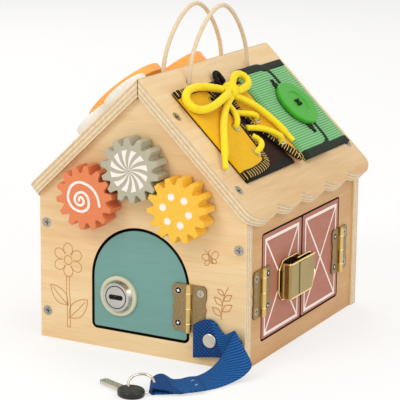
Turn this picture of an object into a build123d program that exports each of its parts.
from build123d import *

import os
from math import atan2, cos, degrees, hypot, pi, radians, sin, tan

os.makedirs("parts", exist_ok=True)

# Wooden activity house. Millimetres, Z up. X runs across the front gable, Y from front to back.
# The origin is on the floor, under the middle of the house.

# House carcass
HOUSE_WIDTH = 170.0
HOUSE_DEPTH = 195.0
RIDGE_HEIGHT = 202.4
ROOF_PITCH = 43.5
PANEL_PLY = 9.0
WALL_PLY = 9.0
ROOF_PLY = 9.0
FLOOR_PLY = 6.0
WALL_SETBACK = 1.25
APEX_RADIUS = 6.0
PLY_ROUND = 0.8
OVERRUN = 1.0

# Roof boards
ROOF_OVERHANG = 4.1
RIDGE_GAP = 1.0
EAVE_VALLEY = 124.4
LOBE_DEPTH = 8.6
LOBE_COUNT = 5
VALLEY_RADIUS = 3.5
EAVE_CORNER_RADIUS = 9.0

# Wood screws: head radius, head height, shank radius, length, slot length, slot width, slot depth
PANEL_SCREW = {"head": 3.9, "height": 2.6, "shank": 2.0, "length": 25.0, "slot": 4.2, "wide": 1.0, "deep": 1.5}
SMALL_SCREW = {"head": 2.7, "height": 1.2, "shank": 1.2, "length": 7.0, "slot": 3.2, "wide": 0.8, "deep": 0.8}
SCREW_FIT = 0.05
SCREW_SINK = 0.4
PANEL_SCREW_HIGH = 88.0
PANEL_SCREW_LOW = 20.5
ROOF_SCREW_UPPER = 37.2
ROOF_SCREW_LOWER = 105.3

# Gears
GEAR_TEETH = 14
GEAR_TIP_RADIUS = 23.4
GEAR_ROOT_RADIUS = 16.9
TOOTH_TIP_WIDTH = 3.5
TOOTH_TIP_ROUND = 1.3
TOOTH_ROOT_ROUND = 1.2
GEAR_THICKNESS = 15.0
GEAR_STANDOFF = 1.0
GEAR_EDGE_ROUND = 0.7
GEAR_CENTRE_HEIGHT = 138.6
GEAR_MESH_DEPTH = 2.1
GEAR_SIDE_ANGLE = 32.77
AXLE_RADIUS = 4.0
AXLE_FIT = 0.05
AXLE_SEAT = 10.0
AXLE_END_PLAY = 0.3
WASHER_RADIUS = 8.0
WASHER_THICKNESS = 1.2

# Front door and its opening
DOORWAY_HALF_WIDTH = 40.6
DOORWAY_FOOT = 13.7
DOORWAY_SPRING = 53.0
DOORWAY_CORNER = 4.5
DOOR_GAP = 2.2

# Cam lock
LOCK_X = -17.5
LOCK_Z = 41.0
LOCK_RING_RADIUS = 15.0
LOCK_RING_THICKNESS = 2.0
BEZEL_RADIUS = 12.3
BEZEL_FACE_RADIUS = 10.6
BEZEL_HEIGHT = 3.0
BARREL_THREAD_RADIUS = 9.4
BARREL_TAIL = 5.5
BARREL_FIT = 0.2
PLUG_RADIUS = 8.3
PLUG_FIT = 0.05
KEYWAY_LENGTH = 10.2
KEYWAY_WIDTH = 2.2
KEYWAY_DEPTH = 9.0
NUT_RADIUS = 13.0
NUT_THICKNESS = 4.0
CAM_LENGTH = 30.0
CAM_HALF_WIDTH = 6.5
CAM_THICKNESS = 2.0
CAM_GAP = 0.2
CAM_SCREW_HEAD = 3.4
CAM_SCREW_HEAD_HEIGHT = 1.8
CAM_SCREW_SHANK = 1.6
CAM_SCREW_LENGTH = 7.0

# Butt hinges
HINGE_LENGTH = 35.0
LEAF_WIDTH = 13.6
LEAF_THICKNESS = 1.2
LEAF_CORNER = 2.0
LEAF_WAIST = 12.7
LEAF_SCOOP = 0.2
LEAF_SCREW_OUT = 9.0
LEAF_SCREW_UP = 12.0
KNUCKLE_RADIUS = 2.0
KNUCKLE_GAP = 0.2
KNUCKLE_NOTCH = 0.4
PIN_LIFT = 2.1
PIN_RADIUS = 1.0
PIN_FIT = 0.05
PIN_HEAD_HEIGHT = 0.5
# seams between the four knuckles, from the hinge's lower end, as shares of its length
KNUCKLE_SEAM_SHARES = (0.0, 0.18, 0.5, 0.82, 1.0)
DOOR_HINGE_X = 40.9
DOOR_HINGE_Z = 40.8

# Shutters and their opening in the right wall
SHUTTER_MIDDLE_Y = -3.66
SHUTTER_STILE = 21.5
SHUTTERWAY_FOOT = 14.4
SHUTTERWAY_HEAD = 94.4
SHUTTERWAY_CORNER = 3.0
SHUTTER_GAP = 1.5
SHUTTER_SPLIT = 2.2
SHUTTER_HINGE_Z = 52.0
SHUTTER_HINGE_LAP = 0.4

# Box latch over the shutters' split; places along Y are measured from the split
LATCH_Z = 52.5
LATCH_PLATE_START = -40.3
LATCH_PLATE_END = -3.3
LATCH_PLATE_HEIGHT = 30.0
LATCH_PLATE_THICKNESS = 1.2
LATCH_PLATE_CORNER = 6.0
LATCH_SHEET = 1.1
COVER_START = -37.3
COVER_END = 5.7
COVER_HEIGHT = 26.0
COVER_FACE = 9.2
COVER_BACK = 3.4
COVER_BEND = 2.6
COVER_RETURN_BEND = 1.6
COVER_TAPER = 6.0
COVER_BAND_WIDTH = 13.0
COVER_BAND_PROUD = 0.5
LATCH_PIN_RADIUS = 0.8
LATCH_KNUCKLE_RADIUS = 1.6
LATCH_KNUCKLE_LENGTH = 5.0
LATCH_PIN_LIFT = 2.9
STRIKE_START = 1.4
STRIKE_END = 5.3
STRIKE_HEIGHT = 14.0
STRIKE_THICKNESS = 1.0
STRIKE_LUG = 1.0
LATCH_SCREW = {"head": 1.8, "height": 0.9, "shank": 0.8, "length": 6.0, "slot": 2.2, "wide": 0.6, "deep": 0.5}
LATCH_SCREW_UP = 9.0

# Laced cloth panel, in places down the right slope from the ridge and along Y
LACE_PANEL_TOP = 20.0
LACE_PANEL_FOOT = 103.0
LACE_PANEL_FRONT = -79.0
LACE_PANEL_REAR = 7.5
TONGUE_THICKNESS = 1.4
TONGUE_LOOP_RADIUS = 4.5
FLAP_THICKNESS = 2.0
FLAP_LIFT = 1.7
FLAP_HEM = 7.0
CREST_LIFT = 5.2
EYELET_RADIUS = 3.7
EYELET_BORE = 2.4
EYELET_RIM = 0.6

# Buttoned cloth band
BAND_TOP = 18.6
BAND_FOOT = 105.0
BAND_FRONT = 14.0
BAND_REAR = 96.0
BAND_THICKNESS = 1.6
BUTTON_FLAP_EDGE = 63.0
BUTTON_FLAP_CORNER = 14.0
BUTTON_FLAP_LIFT = 2.6
BUTTON_FLAP_THICKNESS = 1.8
BUTTON_S = 61.8
BUTTON_Y = 56.2
BUTTON_RADIUS = 20.0
BUTTON_THICKNESS = 3.6
BUTTON_LIFT = 5.2
BUTTON_DISH_RADIUS = 11.0
BUTTON_DISH_DEPTH = 0.9
DISH_TAPER = 45.0
BUTTON_EDGE_ROUND = 1.2
BUTTON_HOLE_RADIUS = 1.5
BUTTON_HOLE_REACH = 3.6
THREAD_RADIUS = 0.7
STITCH_RADIUS = 0.5
THREAD_POST_RADIUS = 2.0
THREAD_POST_GAP = 0.4

# Cords: share of the shorter run beside a corner that the corner's arc takes up
CORNER_SHARE = 0.45

# Lace
LACE_RADIUS = 2.6
LACE_STRAND_RADIUS = 1.8
LACE_KNOT_S = 35.0
LACE_KNOT_Y = -22.5
LACE_KNOT_LIFT = 8.8
LACE_KNOT_LENGTH = 17.0
LACE_KNOT_RADIUS = 3.4
LACE_WRAP_RADIUS = 4.2
LACE_WRAP_HALF_THICKNESS = 2.6
LACE_TIP_RADIUS = 2.1

# Rope handles
ROPE_RADIUS = 1.6
ROPE_X = 11.0
ROPE_Y = 47.0
ROPE_HOLE_FIT = 0.5
ROPE_KNOT_RADIUS = 4.2
ROPE_KNOT_DROP = 1.0
ROPE_KNOT_FIT = 0.05

# Shapes on the left slope
CLOUD_THICKNESS = 8.0
SUN_THICKNESS = 6.0
SUN_RADIUS = 32.0
SUN_RIM = 9.0
SUN_RIM_HEIGHT = 2.0
SHAPE_EDGE_ROUND = 1.2
# round lumps that make up the cloud, as (down the slope, towards the front, radius)
CLOUD_LUMPS = (
    (27.0, 78.0, 18.0),
    (58.0, 76.0, 20.0),
    (40.0, 58.0, 20.0),
    (68.0, 56.0, 18.0),
    (50.0, 36.0, 18.0),
)
SUN_DOWN = 44.0
SUN_ON_CLOUD = 50.0
SUN_ON_ROOF = -16.0

# Strap, rivet, ring and key
STRAP_THICKNESS = 1.6
STRAP_LIFT = 1.4
STRAP_PATCH_START = 45.0
STRAP_PATCH_END = 76.0
STRAP_PATCH_LOW = 5.8
STRAP_PATCH_HIGH = 30.9
STRAP_FLOOR_GAP = 0.1
# the webbing stands on edge: its lower and upper edges seen from the side, as (in front of the house, up)
STRAP_LOWER_EDGE = (
    (-2.5, STRAP_PATCH_LOW),
    (5.5, STRAP_PATCH_LOW),
    (15.5, 2.0),
    (26.5, STRAP_FLOOR_GAP),
    (72.5, STRAP_FLOOR_GAP),
)
STRAP_UPPER_EDGE = (
    (72.5, 13.5),
    (52.5, 16.5),
    (32.5, 23.0),
    (17.5, 28.5),
    (6.5, STRAP_PATCH_HIGH),
    (-2.5, STRAP_PATCH_HIGH),
)
RIVET_X = 59.5
RIVET_Z = 20.8
RIVET_HEAD_RADIUS = 5.2
RIVET_HEAD_HEIGHT = 1.4
RIVET_SHANK_RADIUS = 2.0
RIVET_FIT = 0.1
RING_RADIUS = 9.0
RING_WIRE = 0.9
RING_GAP = 0.3
# ring and key places, as (across, in front of the house, up)
RING_CENTRE = (41.5, 69.5, 5.6)
RING_NORMAL = (0.25, -0.45, 1.0)
KEY_CENTRE = (39.5, 80.0, 0.0)
KEY_DIRECTION = (-0.94, 0.34, 0.0)
KEY_HEAD_LENGTH = 20.0
KEY_HEAD_WIDTH = 18.0
KEY_HEAD_THICKNESS = 5.0
KEY_HEAD_ROUND = 1.5
KEY_BLADE_LENGTH = 24.0
KEY_BLADE_WIDTH = 7.0
KEY_BLADE_THICKNESS = 2.2
KEY_NOTCHES = 4
KEY_NOTCH_SPACING = 2.8
KEY_NOTCH_RADIUS = 1.0
KEY_SEAT = 3.0
KEY_FIT = 0.05

PITCH = radians(ROOF_PITCH)
HALF_WIDTH = HOUSE_WIDTH / 2
HALF_DEPTH = HOUSE_DEPTH / 2
INNER_DEPTH = HALF_DEPTH - PANEL_PLY
WALL_FACE = HALF_WIDTH - WALL_SETBACK
WALL_INSIDE = WALL_FACE - WALL_PLY
ROOF_HALF = HALF_DEPTH + ROOF_OVERHANG
SHUTTERWAY_HALF = INNER_DEPTH - SHUTTER_STILE
SHUTTER_HINGE_OUT = SHUTTERWAY_HALF + SHUTTER_HINGE_LAP
GEAR_SPACING = 2 * GEAR_TIP_RADIUS - GEAR_MESH_DEPTH
LOWER = (Align.CENTER, Align.CENTER, Align.MAX)
UPPER = (Align.CENTER, Align.CENTER, Align.MIN)

FRONT = Plane(origin=(0, -HALF_DEPTH, 0), x_dir=(1, 0, 0), z_dir=(0, -1, 0))
BACK = Plane(origin=(0, HALF_DEPTH, 0), x_dir=(-1, 0, 0), z_dir=(0, 1, 0))
RIGHT = Plane(origin=(WALL_FACE, 0, 0), x_dir=(0, 1, 0), z_dir=(1, 0, 0))
SPLIT = Plane(origin=(WALL_FACE, SHUTTER_MIDDLE_Y, 0), x_dir=(0, 1, 0), z_dir=(1, 0, 0))
SLOPE_RIGHT = Plane(
    origin=(0, 0, RIDGE_HEIGHT), x_dir=(cos(PITCH), 0, -sin(PITCH)), z_dir=(sin(PITCH), 0, cos(PITCH))
)
SLOPE_LEFT = Plane(
    origin=(0, 0, RIDGE_HEIGHT), x_dir=(-cos(PITCH), 0, -sin(PITCH)), z_dir=(-sin(PITCH), 0, cos(PITCH))
)


def write(part, name):
    part.label = name
    export_step(part, f"parts/{name}.step")


def under_roof(x):
    return RIDGE_HEIGHT - ROOF_PLY / cos(PITCH) - abs(x) * tan(PITCH)


def spots(plane, places, lift=0):
    """Locations on a plane, z along its normal."""
    return [plane.location * Location((across, up, lift)) for across, up in places]


def wood_screws(places, size):
    """Countersunk screws with a cross slot, heads flush with the given locations."""
    with BuildPart() as screws:
        with Locations(*places):
            Cone(size["shank"], size["head"], size["height"], align=LOWER)
            Cylinder(size["shank"], size["length"], align=LOWER)
            Box(size["slot"], size["wide"], 2 * size["deep"], mode=Mode.SUBTRACT)
            Box(size["wide"], size["slot"], 2 * size["deep"], mode=Mode.SUBTRACT)
    return screws.part


def sunk_screw_holes(places, size):
    """Cuts a countersunk hole for each screw out of the part being built."""
    with Locations(*places):
        Cylinder(size["shank"] + SCREW_FIT, size["length"], align=LOWER, mode=Mode.SUBTRACT)
        Cone(
            size["shank"] + SCREW_FIT,
            size["head"] + SCREW_FIT,
            size["height"] + SCREW_FIT,
            align=LOWER,
            mode=Mode.SUBTRACT,
        )
        Cylinder(size["head"] + SCREW_FIT, SCREW_SINK + OVERRUN, align=UPPER, mode=Mode.SUBTRACT)


def pilot_holes(places, size):
    """Cuts a straight hole for each screw's shank out of the part being built."""
    with Locations(*places):
        Cylinder(size["shank"] + SCREW_FIT, size["length"], align=LOWER, mode=Mode.SUBTRACT)


def arch(half_width, foot, corner):
    """Door shape: flat foot with rounded corners, upright sides and a half-round head."""
    with BuildSketch() as shape:
        with BuildLine():
            Line((-half_width, DOORWAY_SPRING), (-half_width, foot))
            Line((-half_width, foot), (half_width, foot))
            Line((half_width, foot), (half_width, DOORWAY_SPRING))
            ThreePointArc(
                (half_width, DOORWAY_SPRING), (0, DOORWAY_SPRING + half_width), (-half_width, DOORWAY_SPRING)
            )
        make_face()
        fillet(shape.vertices().group_by(Axis.Y)[0], corner)
    return shape.sketch


def gable():
    """Gable panel: upright sides and a pointed top with a rounded tip."""
    with BuildSketch() as shape:
        with BuildLine():
            Polyline(
                (-HALF_WIDTH, 0),
                (HALF_WIDTH, 0),
                (HALF_WIDTH, under_roof(HALF_WIDTH)),
                (0, under_roof(0)),
                (-HALF_WIDTH, under_roof(HALF_WIDTH)),
                close=True,
            )
        make_face()
        fillet(shape.vertices().sort_by(Axis.Y)[-1], APEX_RADIUS)
    return shape.sketch


def smooth_radii(points):
    """One radius per corner of a route: as large as the two runs beside the corner allow."""
    radii = []
    for before, corner, after in zip(points, points[1:], points[2:]):
        run_in = Vector(*corner) - Vector(*before)
        run_out = Vector(*after) - Vector(*corner)
        half_turn = radians(run_in.get_angle(run_out)) / 2
        radii.append(CORNER_SHARE * min(run_in.length, run_out.length) / tan(half_turn))
    return radii


def tube(name, points, radius):
    """Round tube along straight runs joined by tangent arcs."""
    radii = smooth_radii(points)
    with BuildPart() as cord:
        with BuildLine() as route:
            FilletPolyline(*points, radius=radii)
        line = route.wires()[0]
        with BuildSketch(Plane(origin=line @ 0, z_dir=line % 0)):
            Circle(radius)
        sweep(path=line)
    share = cord.part.volume / (pi * radius**2 * line.length)
    tightest = ", ".join(f"{value:.1f}" for value in sorted(radii)[:3])
    print(f"{name}: length {line.length:.1f}, tightest radii {tightest}, volume share {share:.4f}")
    return cord.part


def on_slope(points):
    """Places (down the right slope, along Y, off the slope) as points in space."""
    return [tuple(SLOPE_RIGHT.from_local_coords(Vector(*point))) for point in points]


# Screw places
PANEL_SCREW_OUT = WALL_INSIDE + WALL_PLY / 2
panel_screw_places = [
    (side * PANEL_SCREW_OUT, height)
    for side in (-1, 1)
    for height in (PANEL_SCREW_LOW, PANEL_SCREW_HIGH)
]
ROOF_SCREW_Y = HALF_DEPTH - PANEL_PLY / 2
roof_screw_places = [
    (down, side * ROOF_SCREW_Y) for down in (ROOF_SCREW_UPPER, ROOF_SCREW_LOWER) for side in (-1, 1)
]
front_screws_at = spots(FRONT, panel_screw_places, -SCREW_SINK)
back_screws_at = spots(BACK, panel_screw_places, -SCREW_SINK)
right_roof_screws_at = spots(SLOPE_RIGHT, roof_screw_places, -SCREW_SINK)
left_roof_screws_at = spots(SLOPE_LEFT, roof_screw_places, -SCREW_SINK)

# Hinge planes: x across the hinge, y up, z out of the face, origin under the pin
DOOR_HINGE = Plane(origin=(DOOR_HINGE_X, -HALF_DEPTH, DOOR_HINGE_Z), x_dir=(1, 0, 0), z_dir=(0, -1, 0))
LEFT_HINGE = Plane(
    origin=(WALL_FACE, SHUTTER_MIDDLE_Y - SHUTTER_HINGE_OUT, SHUTTER_HINGE_Z), x_dir=(0, 1, 0), z_dir=(1, 0, 0)
)
RIGHT_HINGE = Plane(
    origin=(WALL_FACE, SHUTTER_MIDDLE_Y + SHUTTER_HINGE_OUT, SHUTTER_HINGE_Z), x_dir=(0, 1, 0), z_dir=(1, 0, 0)
)


def leaf_screw_spots(plane, side):
    """Heads of a leaf's two screws, flush with the leaf's face."""
    places = [(side * LEAF_SCREW_OUT, up) for up in (-LEAF_SCREW_UP, LEAF_SCREW_UP)]
    return spots(plane, places, LEAF_THICKNESS)


door_leaf_screws_at = leaf_screw_spots(DOOR_HINGE, -1)
door_frame_screws_at = leaf_screw_spots(DOOR_HINGE, 1)
left_shutter_screws_at = leaf_screw_spots(LEFT_HINGE, 1)
left_wall_screws_at = leaf_screw_spots(LEFT_HINGE, -1)
right_shutter_screws_at = leaf_screw_spots(RIGHT_HINGE, -1)
right_wall_screws_at = leaf_screw_spots(RIGHT_HINGE, 1)

# Gear centres on the front face, as (across, up)
gear_reach = GEAR_SPACING * cos(radians(GEAR_SIDE_ANGLE))
gear_drop = GEAR_SPACING * sin(radians(GEAR_SIDE_ANGLE))
gear_centres = {
    "coral": (-gear_reach, GEAR_CENTRE_HEIGHT - gear_drop),
    "grey": (0, GEAR_CENTRE_HEIGHT),
    "yellow": (gear_reach, GEAR_CENTRE_HEIGHT - gear_drop),
}

# Panels of the house
with BuildPart() as front_panel:
    with BuildSketch(FRONT):
        add(gable())
        add(arch(DOORWAY_HALF_WIDTH, DOORWAY_FOOT, DOORWAY_CORNER), mode=Mode.SUBTRACT)
    extrude(amount=-PANEL_PLY)
    with Locations(*spots(FRONT, gear_centres.values())):
        Hole(AXLE_RADIUS + AXLE_FIT)
    with Locations(*spots(FRONT, [(RIVET_X, RIVET_Z)])):
        Hole(RIVET_SHANK_RADIUS + RIVET_FIT)
    sunk_screw_holes(front_screws_at, PANEL_SCREW)
    pilot_holes(door_frame_screws_at, SMALL_SCREW)
    pilot_holes(right_roof_screws_at + left_roof_screws_at, PANEL_SCREW)
write(front_panel.part, "front_panel")

with BuildPart() as back_panel:
    with BuildSketch(BACK):
        add(gable())
    extrude(amount=-PANEL_PLY)
    sunk_screw_holes(back_screws_at, PANEL_SCREW)
    pilot_holes(right_roof_screws_at + left_roof_screws_at, PANEL_SCREW)
write(back_panel.part, "back_panel")

WALL_START = Plane(origin=(0, -INNER_DEPTH, 0), x_dir=(1, 0, 0), z_dir=(0, -1, 0))


def wall_profile(side):
    """Cross-section of a side wall, cut at its top to the roof's underside."""
    with BuildSketch() as profile:
        with BuildLine():
            Polyline(
                (side * WALL_INSIDE, 0),
                (side * WALL_FACE, 0),
                (side * WALL_FACE, under_roof(WALL_FACE)),
                (side * WALL_INSIDE, under_roof(WALL_INSIDE)),
                close=True,
            )
        make_face()
    return profile.sketch


with BuildPart() as left_wall:
    with BuildSketch(WALL_START):
        add(wall_profile(-1))
    extrude(amount=-2 * INNER_DEPTH)
    pilot_holes(front_screws_at + back_screws_at, PANEL_SCREW)
write(left_wall.part, "left_wall")

SHUTTERWAY_HEIGHT = SHUTTERWAY_HEAD - SHUTTERWAY_FOOT
SHUTTERWAY_Z = SHUTTERWAY_FOOT + SHUTTERWAY_HEIGHT / 2
with BuildPart() as right_wall:
    with BuildSketch(WALL_START):
        add(wall_profile(1))
    extrude(amount=-2 * INNER_DEPTH)
    with BuildSketch(RIGHT):
        with Locations((SHUTTER_MIDDLE_Y, SHUTTERWAY_Z)):
            RectangleRounded(2 * SHUTTERWAY_HALF, SHUTTERWAY_HEIGHT, SHUTTERWAY_CORNER)
    extrude(amount=-WALL_PLY, mode=Mode.SUBTRACT)
    pilot_holes(front_screws_at + back_screws_at, PANEL_SCREW)
    pilot_holes(left_wall_screws_at + right_wall_screws_at, SMALL_SCREW)
write(right_wall.part, "right_wall")

with BuildPart() as floor_panel:
    Box(2 * WALL_INSIDE, 2 * INNER_DEPTH, FLOOR_PLY, align=UPPER)
write(floor_panel.part, "floor_panel")


def roof_board(plane, keep, side, screws_at):
    """Roof board with a scalloped eave, mitred at the ridge and bored for the rope."""
    lobe = 2 * ROOF_HALF / LOBE_COUNT
    valleys = [-ROOF_HALF + lobe * index for index in range(LOBE_COUNT + 1)]
    with BuildPart() as board:
        with BuildSketch(plane) as outline:
            with BuildLine():
                Line((EAVE_VALLEY, -ROOF_HALF), (-ROOF_PLY, -ROOF_HALF))
                Line((-ROOF_PLY, -ROOF_HALF), (-ROOF_PLY, ROOF_HALF))
                Line((-ROOF_PLY, ROOF_HALF), (EAVE_VALLEY, ROOF_HALF))
                for start, end in zip(valleys, valleys[1:]):
                    ThreePointArc(
                        (EAVE_VALLEY, start), (EAVE_VALLEY + LOBE_DEPTH, (start + end) / 2), (EAVE_VALLEY, end)
                    )
            make_face()
            eave = outline.vertices().group_by(Axis.X)[-1].sort_by(Axis.Y)
            fillet(eave[1:-1], VALLEY_RADIUS)
            fillet(outline.vertices().filter_by(at_eave_corner), EAVE_CORNER_RADIUS)
        extrude(amount=-ROOF_PLY)
        split(bisect_by=Plane.YZ.offset(side * RIDGE_GAP / 2), keep=keep)
        sunk_screw_holes(screws_at, PANEL_SCREW)
        with Locations((side * ROPE_X, -ROPE_Y, RIDGE_HEIGHT), (side * ROPE_X, ROPE_Y, RIDGE_HEIGHT)):
            Hole(ROPE_RADIUS + ROPE_HOLE_FIT, depth=RIDGE_HEIGHT / 2)
    return board.part


def at_eave_corner(vertex):
    return abs(vertex.X - EAVE_VALLEY) < OVERRUN and abs(abs(vertex.Y) - ROOF_HALF) < OVERRUN


roof_right = roof_board(SLOPE_RIGHT, Keep.TOP, 1, right_roof_screws_at)
write(roof_right, "roof_right")
roof_left = roof_board(SLOPE_LEFT, Keep.BOTTOM, -1, left_roof_screws_at)
write(roof_left, "roof_left")

panel_screws_at = front_screws_at + back_screws_at + right_roof_screws_at + left_roof_screws_at
write(wood_screws(panel_screws_at, PANEL_SCREW), "panel_screws")

# Gears, each glued to an axle that turns in the front panel
TOOTH_PITCH = 360 / GEAR_TEETH


def aim(start, end):
    return degrees(atan2(end[1] - start[1], end[0] - start[0]))


def mate_phase(own_phase, direction):
    """Angle of one tooth of the mating gear, from the angle of one tooth of this gear."""
    offset = (own_phase - direction) % TOOTH_PITCH
    return direction + degrees(pi) - offset + TOOTH_PITCH / 2


grey_phase = aim(gear_centres["grey"], gear_centres["yellow"])
gear_phases = {
    "grey": grey_phase,
    "yellow": mate_phase(grey_phase, aim(gear_centres["grey"], gear_centres["yellow"])),
    "coral": mate_phase(grey_phase, aim(gear_centres["grey"], gear_centres["coral"])),
}


def gear_outline(phase):
    """Toothed outline: narrow rounded tips and rounded valleys."""
    half_tip = degrees(TOOTH_TIP_WIDTH / 2 / GEAR_TIP_RADIUS)
    corners = []
    for index in range(GEAR_TEETH):
        middle = phase + index * TOOTH_PITCH
        for radius, angle in (
            (GEAR_TIP_RADIUS, middle - half_tip),
            (GEAR_TIP_RADIUS, middle + half_tip),
            (GEAR_ROOT_RADIUS, middle + TOOTH_PITCH / 2),
        ):
            corners.append((radius * cos(radians(angle)), radius * sin(radians(angle))))
    split_radius = (GEAR_TIP_RADIUS + GEAR_ROOT_RADIUS) / 2
    with BuildSketch() as outline:
        with BuildLine():
            Polyline(*corners, close=True)
        make_face()
        valleys = outline.vertices().filter_by(lambda corner: hypot(corner.X, corner.Y) < split_radius)
        tips = outline.vertices().filter_by(lambda corner: hypot(corner.X, corner.Y) > split_radius)
        fillet(valleys, TOOTH_ROOT_ROUND)
        fillet(tips, TOOTH_TIP_ROUND)
    return outline.sketch


AXLE_LENGTH = AXLE_SEAT + GEAR_STANDOFF + PANEL_PLY + AXLE_END_PLAY
for colour, centre in gear_centres.items():
    gear_plane = Plane(origin=spots(FRONT, [centre])[0].position, x_dir=(1, 0, 0), z_dir=(0, -1, 0))
    with BuildPart() as gear:
        with BuildSketch(gear_plane.offset(GEAR_STANDOFF)):
            add(gear_outline(gear_phases[colour]))
        extrude(amount=GEAR_THICKNESS)
        fillet(gear.faces().sort_by(Axis.Y)[0].edges(), GEAR_EDGE_ROUND)
        fillet(gear.faces().sort_by(Axis.Y)[-1].edges(), GEAR_EDGE_ROUND)
        with BuildSketch(gear_plane.offset(GEAR_STANDOFF)):
            Circle(AXLE_RADIUS)
        extrude(amount=AXLE_SEAT, mode=Mode.SUBTRACT)
    write(gear.part, f"{colour}_gear")

    axle_inner = gear_plane.offset(-PANEL_PLY - AXLE_END_PLAY)
    with BuildPart() as axle:
        with BuildSketch(axle_inner):
            Circle(AXLE_RADIUS)
            Circle(CAM_SCREW_SHANK + SCREW_FIT, mode=Mode.SUBTRACT)
        extrude(amount=AXLE_LENGTH)
    write(axle.part, f"{colour}_gear_axle")

    # washer and screw at the axle's inner end, two separate pieces
    with BuildPart() as fastener:
        with BuildSketch(axle_inner):
            Circle(WASHER_RADIUS)
            Circle(CAM_SCREW_SHANK + SCREW_FIT, mode=Mode.SUBTRACT)
        extrude(amount=-WASHER_THICKNESS)
        with BuildSketch(axle_inner.offset(-WASHER_THICKNESS - SCREW_FIT)):
            Circle(CAM_SCREW_HEAD)
        extrude(amount=-CAM_SCREW_HEAD_HEIGHT)
        with BuildSketch(axle_inner.offset(-WASHER_THICKNESS - SCREW_FIT)):
            Circle(CAM_SCREW_SHANK)
        extrude(amount=CAM_SCREW_LENGTH)
    write(fastener.part, f"{colour}_gear_washer_and_screw")

# Front door
LOCK_PLANE = Plane(origin=(LOCK_X, -HALF_DEPTH, LOCK_Z), x_dir=(1, 0, 0), z_dir=(0, -1, 0))
with BuildPart() as front_door:
    with BuildSketch(FRONT):
        add(arch(DOORWAY_HALF_WIDTH - DOOR_GAP, DOORWAY_FOOT + DOOR_GAP, DOORWAY_CORNER - DOOR_GAP))
    extrude(amount=-PANEL_PLY)
    with BuildSketch(LOCK_PLANE):
        Circle(BARREL_THREAD_RADIUS + BARREL_FIT)
    extrude(amount=-PANEL_PLY, mode=Mode.SUBTRACT)
    pilot_holes(door_leaf_screws_at, SMALL_SCREW)
write(front_door.part, "front_door")

# Cam lock, outside to inside
with BuildPart() as lock_ring:
    with BuildSketch(LOCK_PLANE):
        Circle(LOCK_RING_RADIUS)
        Circle(BARREL_THREAD_RADIUS + BARREL_FIT, mode=Mode.SUBTRACT)
    extrude(amount=LOCK_RING_THICKNESS)
    fillet(lock_ring.faces().sort_by(Axis.Y)[0].edges().sort_by(SortBy.LENGTH)[-1], LOCK_RING_THICKNESS / 3)
write(lock_ring.part, "lock_ring")

BEZEL_PLANE = LOCK_PLANE.offset(LOCK_RING_THICKNESS)
BARREL_END = -PANEL_PLY - BARREL_TAIL
with BuildPart() as lock_body:
    with BuildSketch(BEZEL_PLANE):
        Circle(BEZEL_RADIUS)
    with BuildSketch(BEZEL_PLANE.offset(BEZEL_HEIGHT)):
        Circle(BEZEL_FACE_RADIUS)
    loft()
    with BuildSketch(LOCK_PLANE.offset(BARREL_END)):
        Circle(BARREL_THREAD_RADIUS)
    extrude(amount=LOCK_RING_THICKNESS - BARREL_END)
    with BuildSketch(LOCK_PLANE.offset(BARREL_END)):
        Circle(PLUG_RADIUS + PLUG_FIT)
    extrude(amount=LOCK_RING_THICKNESS + BEZEL_HEIGHT - BARREL_END, mode=Mode.SUBTRACT)
write(lock_body.part, "lock_body")

with BuildPart() as lock_nut:
    with BuildSketch(LOCK_PLANE.offset(-PANEL_PLY)):
        RegularPolygon(NUT_RADIUS, 6)
        Circle(BARREL_THREAD_RADIUS + SCREW_FIT, mode=Mode.SUBTRACT)
    extrude(amount=-NUT_THICKNESS)
write(lock_nut.part, "lock_nut")

CAM_PLANE = LOCK_PLANE.offset(BARREL_END - CAM_GAP)
with BuildPart() as lock_plug:
    with BuildSketch(CAM_PLANE):
        Circle(PLUG_RADIUS)
        Circle(CAM_SCREW_SHANK + SCREW_FIT, mode=Mode.SUBTRACT)
    extrude(amount=LOCK_RING_THICKNESS + BEZEL_HEIGHT - BARREL_END + CAM_GAP)
    with BuildSketch(BEZEL_PLANE.offset(BEZEL_HEIGHT)):
        SlotOverall(KEYWAY_LENGTH, KEYWAY_WIDTH)
    extrude(amount=-KEYWAY_DEPTH, mode=Mode.SUBTRACT)
write(lock_plug.part, "lock_plug")

with BuildPart() as lock_cam:
    with BuildSketch(CAM_PLANE):
        with Locations((0, (CAM_LENGTH - CAM_HALF_WIDTH) / 2)):
            SlotOverall(CAM_LENGTH + CAM_HALF_WIDTH, 2 * CAM_HALF_WIDTH, rotation=90)
        Circle(CAM_SCREW_SHANK + SCREW_FIT, mode=Mode.SUBTRACT)
    extrude(amount=-CAM_THICKNESS)
write(lock_cam.part, "lock_cam")

with BuildPart() as cam_screw:
    with BuildSketch(CAM_PLANE.offset(-CAM_THICKNESS)):
        Circle(CAM_SCREW_HEAD)
    extrude(amount=-CAM_SCREW_HEAD_HEIGHT)
    with BuildSketch(CAM_PLANE.offset(-CAM_THICKNESS)):
        Circle(CAM_SCREW_SHANK)
    extrude(amount=CAM_THICKNESS + PANEL_PLY / 2)
write(cam_screw.part, "cam_screw")


# Butt hinges
def knuckle_spans(first):
    """Every other knuckle of the barrel, as (middle, length) along the pin."""
    seams = [share * HINGE_LENGTH - HINGE_LENGTH / 2 for share in KNUCKLE_SEAM_SHARES]
    pairs = list(zip(seams, seams[1:]))[first::2]
    return [((low + high) / 2, high - low) for low, high in pairs]


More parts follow.
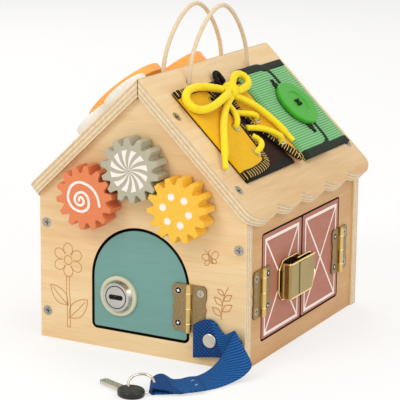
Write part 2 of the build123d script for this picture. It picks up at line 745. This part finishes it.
def hinge_leaf(plane, side, first):
    """Leaf with a waisted outer edge, its own knuckles and room for the other leaf's."""
    top = HINGE_LENGTH / 2
    flat = top - LEAF_CORNER
    with BuildPart() as leaf:
        with BuildSketch(plane):
            with BuildLine():
                Polyline(
                    (side * LEAF_WAIST, top / 3),
                    (side * LEAF_WIDTH, top / 2),
                    (side * LEAF_WIDTH, flat),
                    (side * (LEAF_WIDTH - LEAF_CORNER), top),
                    (0, top),
                    (0, -top),
                    (side * (LEAF_WIDTH - LEAF_CORNER), -top),
                    (side * LEAF_WIDTH, -flat),
                    (side * LEAF_WIDTH, -top / 2),
                    (side * LEAF_WAIST, -top / 3),
                )
                for end in (-1, 1):
                    ThreePointArc(
                        (side * LEAF_WAIST, end * top / 3),
                        (side * (LEAF_WAIST - LEAF_SCOOP), end * top / 6),
                        (side * LEAF_WIDTH, 0),
                    )
            make_face()
            for middle, length in knuckle_spans(1 - first):
                with Locations((0, middle)):
                    Rectangle(
                        2 * (KNUCKLE_RADIUS + KNUCKLE_NOTCH), length + 2 * KNUCKLE_GAP, mode=Mode.SUBTRACT
                    )
        extrude(amount=LEAF_THICKNESS)
        for middle, length in knuckle_spans(first):
            with Locations(plane.location * Location((0, middle, PIN_LIFT), (90, 0, 0))):
                Cylinder(KNUCKLE_RADIUS, length - KNUCKLE_GAP)
        with Locations(plane.location * Location((0, 0, PIN_LIFT), (90, 0, 0))):
            Cylinder(PIN_RADIUS + PIN_FIT, 2 * HINGE_LENGTH, mode=Mode.SUBTRACT)
        sunk_screw_holes(leaf_screw_spots(plane, side), SMALL_SCREW)
    return leaf.part


def hinge_pin(plane):
    with BuildPart() as pin:
        with Locations(plane.location * Location((0, 0, PIN_LIFT), (90, 0, 0))):
            Cylinder(PIN_RADIUS, HINGE_LENGTH)
        for end in (-1, 1):
            centre = end * (HINGE_LENGTH + PIN_HEAD_HEIGHT) / 2
            with Locations(plane.location * Location((0, centre, PIN_LIFT), (90, 0, 0))):
                Cylinder((PIN_RADIUS + KNUCKLE_RADIUS) / 2, PIN_HEAD_HEIGHT)
    return pin.part


hinge_sides = {"door": (DOOR_HINGE, -1), "left_shutter": (LEFT_HINGE, 1), "right_shutter": (RIGHT_HINGE, -1)}
for name, (plane, moving_side) in hinge_sides.items():
    write(hinge_leaf(plane, moving_side, 0), f"{name}_hinge_leaf")
with BuildPart() as fixed_leaves:
    for plane, moving_side in hinge_sides.values():
        add(hinge_leaf(plane, -moving_side, 1))
write(fixed_leaves.part, "fixed_hinge_leaves")
with BuildPart() as hinge_pins:
    for plane, moving_side in hinge_sides.values():
        add(hinge_pin(plane))
write(hinge_pins.part, "hinge_pins")
write(wood_screws(door_leaf_screws_at, SMALL_SCREW), "door_hinge_screws")
write(
    wood_screws(door_frame_screws_at + left_wall_screws_at + right_wall_screws_at, SMALL_SCREW),
    "fixed_hinge_screws",
)

# Shutters
SHUTTER_HEIGHT = SHUTTERWAY_HEIGHT - 2 * SHUTTER_GAP
SHUTTER_WIDTH = SHUTTERWAY_HALF - SHUTTER_GAP - SHUTTER_SPLIT / 2
latch_plate_middle = (LATCH_PLATE_START + LATCH_PLATE_END) / 2
latch_screw_places = [(latch_plate_middle, LATCH_Z + up) for up in (-LATCH_SCREW_UP, LATCH_SCREW_UP)]
latch_screws_at = spots(SPLIT, latch_screw_places, LATCH_PLATE_THICKNESS)
strike_middle = (STRIKE_START + STRIKE_END) / 2
strike_screw_places = [(strike_middle, LATCH_Z + up) for up in (-STRIKE_HEIGHT / 3, STRIKE_HEIGHT / 3)]
strike_screws_at = spots(SPLIT, strike_screw_places, STRIKE_THICKNESS)


def shutter(side, screws_at, latch_at):
    """Shutter board flush with the wall, on one side of the split."""
    middle = SHUTTER_MIDDLE_Y + side * (SHUTTER_SPLIT + SHUTTER_WIDTH) / 2
    with BuildPart() as board:
        with BuildSketch(RIGHT):
            with Locations((middle, SHUTTERWAY_Z)):
                RectangleRounded(SHUTTER_WIDTH, SHUTTER_HEIGHT, SHUTTERWAY_CORNER - SHUTTER_GAP)
        extrude(amount=-WALL_PLY)
        pilot_holes(screws_at, SMALL_SCREW)
        pilot_holes(latch_at, LATCH_SCREW)
    return board.part


write(shutter(-1, left_shutter_screws_at, latch_screws_at), "left_shutter")
write(shutter(1, right_shutter_screws_at, strike_screws_at), "right_shutter")

# Box latch: base plate and pin on the left shutter, folded cover over the split, strike beyond it
LATCH_PIN_Y = COVER_START + LATCH_SHEET
LATCH_PIN_AT = SPLIT.location * Location((LATCH_PIN_Y, LATCH_Z, LATCH_PIN_LIFT), (90, 0, 0))
ear_reach = COVER_HEIGHT / 2 - LATCH_KNUCKLE_LENGTH / 2
with BuildPart() as latch_base:
    with BuildSketch(SPLIT) as base_outline:
        with Locations((latch_plate_middle, LATCH_Z)):
            Rectangle(LATCH_PLATE_END - LATCH_PLATE_START, LATCH_PLATE_HEIGHT)
        chamfer(base_outline.vertices(), LATCH_PLATE_CORNER)
    extrude(amount=LATCH_PLATE_THICKNESS)
    for end in (-1, 1):
        ear_height = LATCH_Z + end * ear_reach
        with Locations(SPLIT.location * Location((LATCH_PIN_Y, ear_height, LATCH_PIN_LIFT), (90, 0, 0))):
            Cylinder(LATCH_KNUCKLE_RADIUS, LATCH_KNUCKLE_LENGTH)
        with Locations(SPLIT.location * Location((LATCH_PIN_Y, ear_height, LATCH_PIN_LIFT / 2))):
            Box(2 * LATCH_PIN_RADIUS, LATCH_KNUCKLE_LENGTH, LATCH_PIN_LIFT)
    with Locations(LATCH_PIN_AT):
        Cylinder(LATCH_PIN_RADIUS + PIN_FIT, 2 * COVER_HEIGHT, mode=Mode.SUBTRACT)
    sunk_screw_holes(latch_screws_at, LATCH_SCREW)
write(latch_base.part, "latch_base")

with BuildPart() as latch_pin:
    with Locations(LATCH_PIN_AT):
        Cylinder(LATCH_PIN_RADIUS, COVER_HEIGHT)
write(latch_pin.part, "latch_pin")

cover_low = LATCH_Z - COVER_HEIGHT / 2
cover_high = LATCH_Z + COVER_HEIGHT / 2
with BuildPart() as latch_cover:
    # sheet loop in plan: X across the wall, so the sketch runs along Y and off the wall
    cover_foot = Plane(origin=(WALL_FACE, SHUTTER_MIDDLE_Y, cover_low), x_dir=(0, 1, 0), z_dir=(0, 0, 1))
    with BuildSketch(cover_foot) as loop:
        with BuildLine() as bend:
            FilletPolyline(
                (COVER_START + LATCH_SHEET / 2, -LATCH_PIN_LIFT),
                (COVER_START + LATCH_SHEET / 2, -(COVER_FACE - LATCH_SHEET / 2)),
                (COVER_END - LATCH_SHEET / 2, -(COVER_FACE - LATCH_SHEET / 2)),
                (COVER_END - LATCH_SHEET / 2, -(COVER_BACK + LATCH_SHEET / 2)),
                (COVER_END / 2 + COVER_START / 2, -(COVER_BACK + LATCH_SHEET / 2)),
                radius=[COVER_BEND / 2, COVER_BEND, COVER_RETURN_BEND],
            )
        trace(bend.wires()[0], line_width=LATCH_SHEET)
    extrude(amount=COVER_HEIGHT)
    # raised middle strip of the face
    with Locations(SPLIT.location * Location(((COVER_START + COVER_END) / 2, LATCH_Z, COVER_FACE))):
        Box(COVER_BAND_WIDTH, COVER_HEIGHT - 2 * LATCH_SHEET, 2 * COVER_BAND_PROUD)
    # the free end tapers towards the bottom
    with BuildSketch(SPLIT):
        with BuildLine():
            Polyline(
                (COVER_END + OVERRUN, cover_low - OVERRUN),
                (COVER_END + OVERRUN, LATCH_Z),
                (COVER_END, LATCH_Z),
                (COVER_END - COVER_TAPER, cover_low),
                (COVER_END - COVER_TAPER, cover_low - OVERRUN),
                close=True,
            )
        make_face()
    extrude(amount=2 * COVER_FACE, mode=Mode.SUBTRACT)
    # middle knuckle round the pin, with room for the base's two
    with Locations(LATCH_PIN_AT):
        Cylinder(LATCH_KNUCKLE_RADIUS + KNUCKLE_NOTCH, COVER_HEIGHT + OVERRUN, mode=Mode.SUBTRACT)
        Cylinder(LATCH_KNUCKLE_RADIUS, COVER_HEIGHT - 2 * LATCH_KNUCKLE_LENGTH - 2 * KNUCKLE_GAP)
    with Locations(SPLIT.location * Location((LATCH_PIN_Y, LATCH_Z, LATCH_PIN_LIFT + LATCH_KNUCKLE_RADIUS))):
        Box(2 * LATCH_SHEET, COVER_HEIGHT - 2 * LATCH_KNUCKLE_LENGTH - 2 * KNUCKLE_GAP, 2 * LATCH_SHEET)
    with Locations(LATCH_PIN_AT):
        Cylinder(LATCH_PIN_RADIUS + PIN_FIT, 2 * COVER_HEIGHT, mode=Mode.SUBTRACT)
write(latch_cover.part, "latch_cover")

with BuildPart() as latch_strike:
    with BuildSketch(SPLIT):
        with Locations((strike_middle, LATCH_Z)):
            Rectangle(STRIKE_END - STRIKE_START, STRIKE_HEIGHT)
    extrude(amount=STRIKE_THICKNESS)
    with Locations(SPLIT.location * Location((strike_middle, LATCH_Z, STRIKE_THICKNESS + STRIKE_LUG / 2))):
        Box(STRIKE_LUG, STRIKE_HEIGHT / 3, STRIKE_LUG)
    sunk_screw_holes(strike_screws_at, LATCH_SCREW)
write(latch_strike.part, "latch_strike")

with BuildPart() as left_shutter_screws:
    add(wood_screws(left_shutter_screws_at, SMALL_SCREW))
    add(wood_screws(latch_screws_at, LATCH_SCREW))
write(left_shutter_screws.part, "left_shutter_screws")

with BuildPart() as right_shutter_screws:
    add(wood_screws(right_shutter_screws_at, SMALL_SCREW))
    add(wood_screws(strike_screws_at, LATCH_SCREW))
write(right_shutter_screws.part, "right_shutter_screws")

# Laced cloth panel. Shares of its length down the slope and of its width along Y.
PANEL_LONG = LACE_PANEL_FOOT - LACE_PANEL_TOP
PANEL_WIDE = LACE_PANEL_REAR - LACE_PANEL_FRONT
EYELET_DOWN_SHARES = (0.19, 0.5, 0.785)
LEFT_EYELET_SHARE = 0.415
RIGHT_EYELET_SHARES = (0.795, 0.785, 0.85)
LEFT_EDGE_SHARES = (
    (0.0, 0.45),
    (0.16, 0.5),
    (0.4, 0.54),
    (0.68, 0.52),
    (0.86, 0.5),
    (0.94, 0.42),
    (0.97, 0.2),
)
RIGHT_EDGE_SHARES = ((0.1, 0.72), (0.26, 0.75), (0.5, 0.76), (0.79, 0.84), (1.0, 0.89))
TONGUE_LOOP_SHARE = 0.78


def panel_place(down_share, along_share):
    return (LACE_PANEL_TOP + down_share * PANEL_LONG, LACE_PANEL_FRONT + along_share * PANEL_WIDE)


left_eyelets = [panel_place(down, LEFT_EYELET_SHARE) for down in EYELET_DOWN_SHARES]
right_eyelets = [panel_place(down, along) for down, along in zip(EYELET_DOWN_SHARES, RIGHT_EYELET_SHARES)]

with BuildPart() as tongue:
    with BuildSketch(SLOPE_RIGHT):
        with BuildLine():
            Polyline(
                panel_place(0, 0),
                panel_place(1, 0),
                panel_place(1, RIGHT_EDGE_SHARES[-1][1]),
                panel_place(0, RIGHT_EDGE_SHARES[-1][1]),
                close=True,
            )
        make_face()
        with Locations(panel_place(0, TONGUE_LOOP_SHARE)):
            Circle(TONGUE_LOOP_RADIUS)
    extrude(amount=TONGUE_THICKNESS)
write(tongue.part, "shoe_tongue")

# cross-section of the right slope: x along Y, y off the slope, z down it
SECTION = Plane(origin=SLOPE_RIGHT.origin, x_dir=(0, 1, 0), z_dir=SLOPE_RIGHT.x_dir)


def flap(edge_shares, outer, crest, inner_lift, eyelets):
    """Arched cloth flap: a cross-section along Y, trimmed to its outline on the slope."""
    inner = [panel_place(*pair) for pair in edge_shares]
    reach = max(along for down, along in inner) if crest > 0 else min(along for down, along in inner)
    hem = outer + crest * FLAP_HEM
    foot = outer + crest * FLAP_THICKNESS
    with BuildPart() as cloth:
        with BuildSketch(SECTION.offset(LACE_PANEL_TOP - OVERRUN)):
            with BuildLine():
                ThreePointArc(
                    (outer, TONGUE_THICKNESS),
                    (outer + crest * FLAP_THICKNESS / 2, (TONGUE_THICKNESS + inner_lift + FLAP_THICKNESS) / 2),
                    (hem, inner_lift + FLAP_THICKNESS),
                )
                Polyline(
                    (hem, inner_lift + FLAP_THICKNESS),
                    (reach, FLAP_LIFT + FLAP_THICKNESS),
                    (reach, FLAP_LIFT),
                    (foot + crest * FLAP_THICKNESS, FLAP_LIFT),
                    (foot, TONGUE_THICKNESS),
                    (outer, TONGUE_THICKNESS),
                )
            make_face()
        extrude(amount=PANEL_LONG + 2 * OVERRUN)
        with BuildSketch(SLOPE_RIGHT):
            with BuildLine():
                Polyline((inner[0][0], outer), (inner[-1][0], outer), inner[-1])
                Polyline(inner[0], (inner[0][0], outer))
                Spline(*inner)
            make_face()
        extrude(amount=2 * CREST_LIFT, mode=Mode.INTERSECT)
        with Locations(*spots(SLOPE_RIGHT, eyelets)):
            Hole(EYELET_BORE + EYELET_RIM)
    return cloth.part


with BuildPart() as lace_flaps:
    add(flap(LEFT_EDGE_SHARES, LACE_PANEL_FRONT, 1, FLAP_LIFT, left_eyelets))
    add(flap(RIGHT_EDGE_SHARES, LACE_PANEL_REAR, -1, CREST_LIFT, right_eyelets))
write(lace_flaps.part, "lace_flaps")


def crest_rise(along):
    """How far the right flap's face has risen above its inner edge, at a place along Y."""
    inner_edge = panel_place(*RIGHT_EDGE_SHARES[0])[1]
    hem = LACE_PANEL_REAR - FLAP_HEM
    return (CREST_LIFT - FLAP_LIFT) * (along - inner_edge) / (hem - inner_edge)


flap_tilt = degrees(atan2(crest_rise(LACE_PANEL_REAR) - crest_rise(0), LACE_PANEL_REAR))
flap_face = FLAP_LIFT + FLAP_THICKNESS
eyelet_spots = spots(SLOPE_RIGHT, left_eyelets, flap_face) + [
    SLOPE_RIGHT.location * Location((down, along, flap_face + crest_rise(along)), (flap_tilt, 0, 0))
    for down, along in right_eyelets
]
with BuildPart() as eyelets:
    with Locations(*eyelet_spots):
        Cylinder(EYELET_RADIUS, EYELET_RIM, align=UPPER)
        Cylinder(EYELET_BORE + EYELET_RIM / 3, FLAP_THICKNESS, align=LOWER)
        Cylinder(EYELET_BORE, 2 * FLAP_THICKNESS + EYELET_RIM, mode=Mode.SUBTRACT)
write(eyelets.part, "lace_eyelets")

# Buttoned band: a flat under layer and a folded flap above it
with BuildPart() as button_band:
    with BuildSketch(SLOPE_RIGHT):
        with Locations(((BAND_TOP + BAND_FOOT) / 2, (BAND_FRONT + BAND_REAR) / 2)):
            Rectangle(BAND_FOOT - BAND_TOP, BAND_REAR - BAND_FRONT)
    extrude(amount=BAND_THICKNESS)
write(button_band.part, "button_band")

flap_top = BUTTON_FLAP_LIFT + BUTTON_FLAP_THICKNESS
thread_reach = hypot(BUTTON_HOLE_REACH, BUTTON_HOLE_REACH)
with BuildPart() as button_flap:
    with BuildSketch(SECTION.offset(BAND_TOP)):
        with BuildLine():
            ThreePointArc(
                (BAND_FRONT, BAND_THICKNESS),
                (BAND_FRONT + BUTTON_FLAP_THICKNESS / 2, (BAND_THICKNESS + flap_top) / 2),
                (BAND_FRONT + FLAP_HEM, flap_top),
            )
            Polyline(
                (BAND_FRONT + FLAP_HEM, flap_top),
                (BUTTON_FLAP_EDGE, flap_top),
                (BUTTON_FLAP_EDGE, BUTTON_FLAP_LIFT),
                (BAND_FRONT + FLAP_HEM, BUTTON_FLAP_LIFT),
                (BAND_FRONT + BUTTON_FLAP_THICKNESS, BAND_THICKNESS),
                (BAND_FRONT, BAND_THICKNESS),
            )
        make_face()
    extrude(amount=BAND_FOOT - BAND_TOP)
    with BuildSketch(SLOPE_RIGHT) as flap_outline:
        with Locations(((BAND_TOP + BAND_FOOT) / 2, (BAND_FRONT + BUTTON_FLAP_EDGE) / 2)):
            Rectangle(BAND_FOOT - BAND_TOP, BUTTON_FLAP_EDGE - BAND_FRONT)
        fillet(flap_outline.vertices().group_by(Axis.Y)[-1], BUTTON_FLAP_CORNER)
    extrude(amount=2 * flap_top, mode=Mode.INTERSECT)
    with Locations(*spots(SLOPE_RIGHT, [(BUTTON_S, BUTTON_Y)])):
        Hole(thread_reach / 2 + THREAD_RADIUS + THREAD_POST_GAP)
write(button_flap.part, "button_flap")

BUTTON_PLANE = Plane(
    origin=SLOPE_RIGHT.from_local_coords(Vector(BUTTON_S, BUTTON_Y, BUTTON_LIFT)),
    x_dir=SLOPE_RIGHT.x_dir,
    z_dir=SLOPE_RIGHT.z_dir,
)
button_holes = [
    (across * BUTTON_HOLE_REACH / 2, up * BUTTON_HOLE_REACH / 2) for across in (-1, 1) for up in (-1, 1)
]
with BuildPart() as button:
    with BuildSketch(BUTTON_PLANE):
        Circle(BUTTON_RADIUS)
    extrude(amount=BUTTON_THICKNESS)
    fillet(button.edges(), BUTTON_EDGE_ROUND)
    with BuildSketch(BUTTON_PLANE.offset(BUTTON_THICKNESS)):
        Circle(BUTTON_DISH_RADIUS)
    extrude(amount=-BUTTON_DISH_DEPTH, taper=DISH_TAPER, mode=Mode.SUBTRACT)
    with Locations(*spots(BUTTON_PLANE, button_holes)):
        Hole(BUTTON_HOLE_RADIUS)
write(button.part, "big_button")

dish = BUTTON_THICKNESS - BUTTON_DISH_DEPTH
with BuildPart() as button_thread:
    for turn in (45, -45):
        with Locations(BUTTON_PLANE.location * Location((0, 0, dish + THREAD_RADIUS), (0, 0, turn))):
            Box(thread_reach + 2 * THREAD_RADIUS, 2 * THREAD_RADIUS, 2 * THREAD_RADIUS)
    with Locations(*spots(BUTTON_PLANE, button_holes, dish + THREAD_RADIUS)):
        Cylinder(STITCH_RADIUS, dish + 2 * THREAD_RADIUS, align=LOWER)
    with Locations(*spots(BUTTON_PLANE, [(0, 0)])):
        Cylinder(thread_reach / 2 + THREAD_RADIUS, 2 * THREAD_RADIUS, align=LOWER)
        Cylinder(THREAD_POST_RADIUS, BUTTON_LIFT - BAND_THICKNESS, align=LOWER)
write(button_thread.part, "button_thread")

# Lace: a knot, two bows, two tails and the crossings between the eyelets.
# Places are (down the slope, along Y, off the slope).
bow_left_route = (
    (32.2, -30.4, 8.8),
    (27.2, -39.0, 7.8),
    (23.0, -54.0, 7.0),
    (23.6, -70.0, 7.0),
    (30.5, -81.5, 7.0),
    (40.0, -79.5, 7.0),
    (43.0, -66.0, 7.4),
    (41.6, -49.5, 9.0),
    (39.4, -39.0, 11.2),
    (37.8, -30.4, 10.6),
)
bow_right_route = (
    (32.2, -14.6, 9.0),
    (27.2, -8.0, 9.8),
    (24.4, -0.6, 10.2),
    (25.4, 6.2, 10.6),
    (30.2, 9.0, 10.8),
    (35.2, 6.2, 10.6),
    (37.4, -2.6, 10.0),
    (37.8, -14.6, 9.0),
)
tail_left_route = (
    (40.0, -24.8, 7.0),
    (43.4, -35.5, 6.6),
    (54.5, -55.5, 6.4),
    (67.5, -73.0, 7.0),
    (78.0, -85.0, 6.2),
    (88.0, -94.0, 3.2),
)
tail_right_route = (
    (40.0, -20.2, 8.4),
    (50.5, -8.6, 9.8),
    (63.5, -2.6, 10.0),
    (77.5, 1.8, 10.0),
    (90.0, 2.8, 9.8),
)
crossing_routes = (
    (
        (40.0, -28.4, 3.4),
        (46.4, -30.8, 5.2),
        (52.6, -34.8, 6.9),
        (57.6, -39.2, 7.4),
        (60.9, -42.4, 6.2),
        (61.4, -43.0, 2.8),
    ),
    (
        (50.5, -28.2, 3.5),
        (54.0, -22.0, 5.4),
        (58.0, -15.6, 7.8),
        (61.0, -11.9, 7.6),
        (61.5, -11.1, 3.8),
    ),
    (
        (64.8, -30.0, 3.4),
        (67.8, -23.2, 5.6),
        (73.6, -14.5, 8.0),
        (81.0, -8.4, 9.4),
        (84.6, -6.0, 8.6),
        (85.2, -5.5, 5.0),
    ),
    (
        (72.4, -30.6, 3.4),
        (76.6, -29.4, 4.8),
        (81.0, -32.2, 6.4),
        (84.0, -37.6, 7.0),
        (85.1, -42.0, 6.2),
        (85.2, -43.1, 2.8),
    ),
)

# the knot: the gathered strands, with one turn of lace wrapped round their middle
with BuildPart() as lace_knot:
    with Locations(SLOPE_RIGHT.location * Location((LACE_KNOT_S, LACE_KNOT_Y, LACE_KNOT_LIFT), (90, 0, 0))):
        Cylinder(LACE_KNOT_RADIUS, LACE_KNOT_LENGTH)
        Torus(LACE_WRAP_RADIUS, LACE_WRAP_HALF_THICKNESS)
write(lace_knot.part, "lace_knot")

for name, routes, radius in (
    ("lace_bows", (bow_left_route, bow_right_route), LACE_RADIUS),
    ("lace_tails", (tail_left_route, tail_right_route), LACE_TIP_RADIUS),
    ("lace_crossings", crossing_routes, LACE_STRAND_RADIUS),
):
    strands = [tube(name, on_slope(route), radius) for route in routes]
    with BuildPart() as lace:
        for strand in strands:
            add(strand)
    write(lace.part, name)

# Rope handles: up through a board from a knot, over and down again, as places (along Y, up)
knot_height = under_roof(ROPE_X) - (ROPE_KNOT_DROP + ROPE_KNOT_RADIUS) / cos(PITCH)
handle_route = (
    (-ROPE_Y, knot_height),
    (-ROPE_Y, 200.0),
    (-38.0, 219.5),
    (-19.5, 237.0),
    (2.5, 245.2),
    (21.0, 237.5),
    (38.0, 219.5),
    (ROPE_Y, 200.0),
    (ROPE_Y, knot_height),
)
for name, side in (("left", -1), ("right", 1)):
    rope = tube(f"rope_handle_{name}", [(side * ROPE_X, along, up) for along, up in handle_route], ROPE_RADIUS)
    write(rope, f"rope_handle_{name}")

with BuildPart() as rope_knots:
    with Locations(
        *[(across * ROPE_X, along * ROPE_Y, knot_height) for across in (-1, 1) for along in (-1, 1)]
    ):
        Sphere(ROPE_KNOT_RADIUS)
        Cylinder(ROPE_RADIUS + ROPE_KNOT_FIT, 2 * ROPE_KNOT_RADIUS, align=UPPER, mode=Mode.SUBTRACT)
write(rope_knots.part, "rope_knots")

# Shapes on the left slope: a cloud board and two sun discs
with BuildPart() as cloud_board:
    with BuildSketch(SLOPE_LEFT) as cloud:
        for down, along, radius in CLOUD_LUMPS:
            with Locations((down, along)):
                Circle(radius)
    extrude(amount=CLOUD_THICKNESS)
    outward = Axis(SLOPE_LEFT.origin, SLOPE_LEFT.z_dir)
    fillet(cloud_board.faces().sort_by(outward)[-1].edges(), SHAPE_EDGE_ROUND)
write(cloud_board.part, "cloud_board")

sun_places = ((SUN_ON_CLOUD, CLOUD_THICKNESS), (SUN_ON_ROOF, 0))
with BuildPart() as sun_discs:
    for along, lift in sun_places:
        sun_plane = Plane(
            origin=SLOPE_LEFT.from_local_coords(Vector(SUN_DOWN, along, lift)),
            x_dir=SLOPE_LEFT.x_dir,
            z_dir=SLOPE_LEFT.z_dir,
        )
        with BuildSketch(sun_plane):
            Circle(SUN_RADIUS)
        extrude(amount=SUN_THICKNESS + CLOUD_THICKNESS - lift)
        with BuildSketch(sun_plane.offset(SUN_THICKNESS + CLOUD_THICKNESS - lift)):
            Circle(SUN_RADIUS - SUN_RIM)
        extrude(amount=SUN_RIM_HEIGHT)
write(sun_discs.part, "sun_discs")

# Strap riveted to the front panel, ring and key, all lying on the floor
strap_front = STRAP_LIFT + STRAP_THICKNESS + STRAP_THICKNESS / 2
# the strap seen from above, as (across, in front of the house)
strap_route = (
    (STRAP_PATCH_START, strap_front),
    (STRAP_PATCH_END, strap_front),
    (86.0, 6.0),
    (95.5, 11.0),
    (99.6, 20.5),
    (97.6, 32.5),
    (89.0, 45.0),
    (76.0, 54.0),
    (61.0, 59.5),
    (44.0, 62.5),
)


def in_front(across, forward, up=0):
    return (across, -HALF_DEPTH - forward, up)


strap_places = [in_front(*place) for place in strap_route]
strap_radii = smooth_radii(strap_places)
print("strap radii", ", ".join(f"{value:.1f}" for value in strap_radii))
RING_PLANE = Plane(origin=in_front(*RING_CENTRE), x_dir=(1, 0, 0), z_dir=RING_NORMAL)
KEY_PLANE = Plane(origin=in_front(*KEY_CENTRE), x_dir=KEY_DIRECTION, z_dir=(0, 0, 1))


def ring(gap=0):
    with BuildPart() as wire:
        with Locations(RING_PLANE.location):
            Torus(RING_RADIUS, RING_WIRE + gap)
    return wire.part


with BuildPart() as strap:
    with BuildSketch(Plane.XY):
        with BuildLine() as strap_line:
            FilletPolyline(*strap_places, radius=strap_radii)
        trace(strap_line.wires()[0], line_width=STRAP_THICKNESS)
    extrude(amount=2 * STRAP_PATCH_HIGH)
    with BuildSketch(Plane(origin=(HOUSE_WIDTH, -HALF_DEPTH, 0), x_dir=(0, -1, 0), z_dir=(-1, 0, 0))):
        with BuildLine():
            Polyline(*STRAP_LOWER_EDGE, *STRAP_UPPER_EDGE, close=True)
        make_face()
    extrude(amount=HOUSE_WIDTH, mode=Mode.INTERSECT)
    # the webbing is doubled behind the rivet
    with Locations(
        (
            (STRAP_PATCH_START + STRAP_PATCH_END) / 2,
            -HALF_DEPTH - STRAP_LIFT - STRAP_THICKNESS / 2,
            (STRAP_PATCH_LOW + STRAP_PATCH_HIGH) / 2,
        )
    ):
        Box(STRAP_PATCH_END - STRAP_PATCH_START, STRAP_THICKNESS, STRAP_PATCH_HIGH - STRAP_PATCH_LOW)
    with Locations(*spots(FRONT, [(RIVET_X, RIVET_Z)])):
        Hole(RIVET_SHANK_RADIUS + RIVET_FIT, depth=PANEL_PLY)
    add(ring(RING_GAP), mode=Mode.SUBTRACT)
write(strap.part, "strap")

RIVET_PLANE = Plane(origin=(RIVET_X, -HALF_DEPTH, RIVET_Z), x_dir=(1, 0, 0), z_dir=(0, -1, 0))
strap_face = STRAP_LIFT + 2 * STRAP_THICKNESS
with BuildPart() as rivet:
    with BuildSketch(RIVET_PLANE.offset(strap_face)):
        Circle(RIVET_HEAD_RADIUS)
    extrude(amount=RIVET_HEAD_HEIGHT)
    fillet(rivet.faces().sort_by(Axis.Y)[0].edges(), RIVET_HEAD_HEIGHT / 2)
    with BuildSketch(RIVET_PLANE.offset(strap_face)):
        Circle(RIVET_SHANK_RADIUS)
    extrude(amount=-strap_face - PANEL_PLY)
    with BuildSketch(RIVET_PLANE.offset(-PANEL_PLY)):
        Circle(RIVET_HEAD_RADIUS)
    extrude(amount=-RIVET_HEAD_HEIGHT)
write(rivet.part, "strap_rivet")

write(ring(), "split_ring")

blade_height = (KEY_HEAD_THICKNESS - KEY_BLADE_THICKNESS) / 2
blade_start = KEY_HEAD_LENGTH / 2 - KEY_SEAT
with BuildPart() as key_blade:
    with BuildSketch(KEY_PLANE.offset(blade_height)) as blade:
        with Locations((blade_start + KEY_BLADE_LENGTH / 2, 0)):
            Rectangle(KEY_BLADE_LENGTH, KEY_BLADE_WIDTH)
        fillet(blade.vertices().group_by(Axis.X)[-1], KEY_BLADE_WIDTH / 3)
        for index in range(1, KEY_NOTCHES + 1):
            with Locations((blade_start + KEY_BLADE_LENGTH - index * KEY_NOTCH_SPACING, KEY_BLADE_WIDTH / 2)):
                Circle(KEY_NOTCH_RADIUS, mode=Mode.SUBTRACT)
    extrude(amount=KEY_BLADE_THICKNESS)
write(key_blade.part, "key_blade")

with BuildPart() as key_head:
    with BuildSketch(KEY_PLANE):
        Ellipse(KEY_HEAD_LENGTH / 2, KEY_HEAD_WIDTH / 2)
    extrude(amount=KEY_HEAD_THICKNESS)
    fillet(key_head.edges(), KEY_HEAD_ROUND)
    with Locations(KEY_PLANE.location * Location((blade_start, 0, KEY_HEAD_THICKNESS / 2))):
        Box(
            2 * KEY_SEAT,
            KEY_BLADE_WIDTH + 2 * KEY_FIT,
            KEY_BLADE_THICKNESS + 2 * KEY_FIT,
            align=(Align.MIN, Align.CENTER, Align.CENTER),
            mode=Mode.SUBTRACT,
        )
    add(ring(RING_GAP), mode=Mode.SUBTRACT)
write(key_head.part, "key_head")
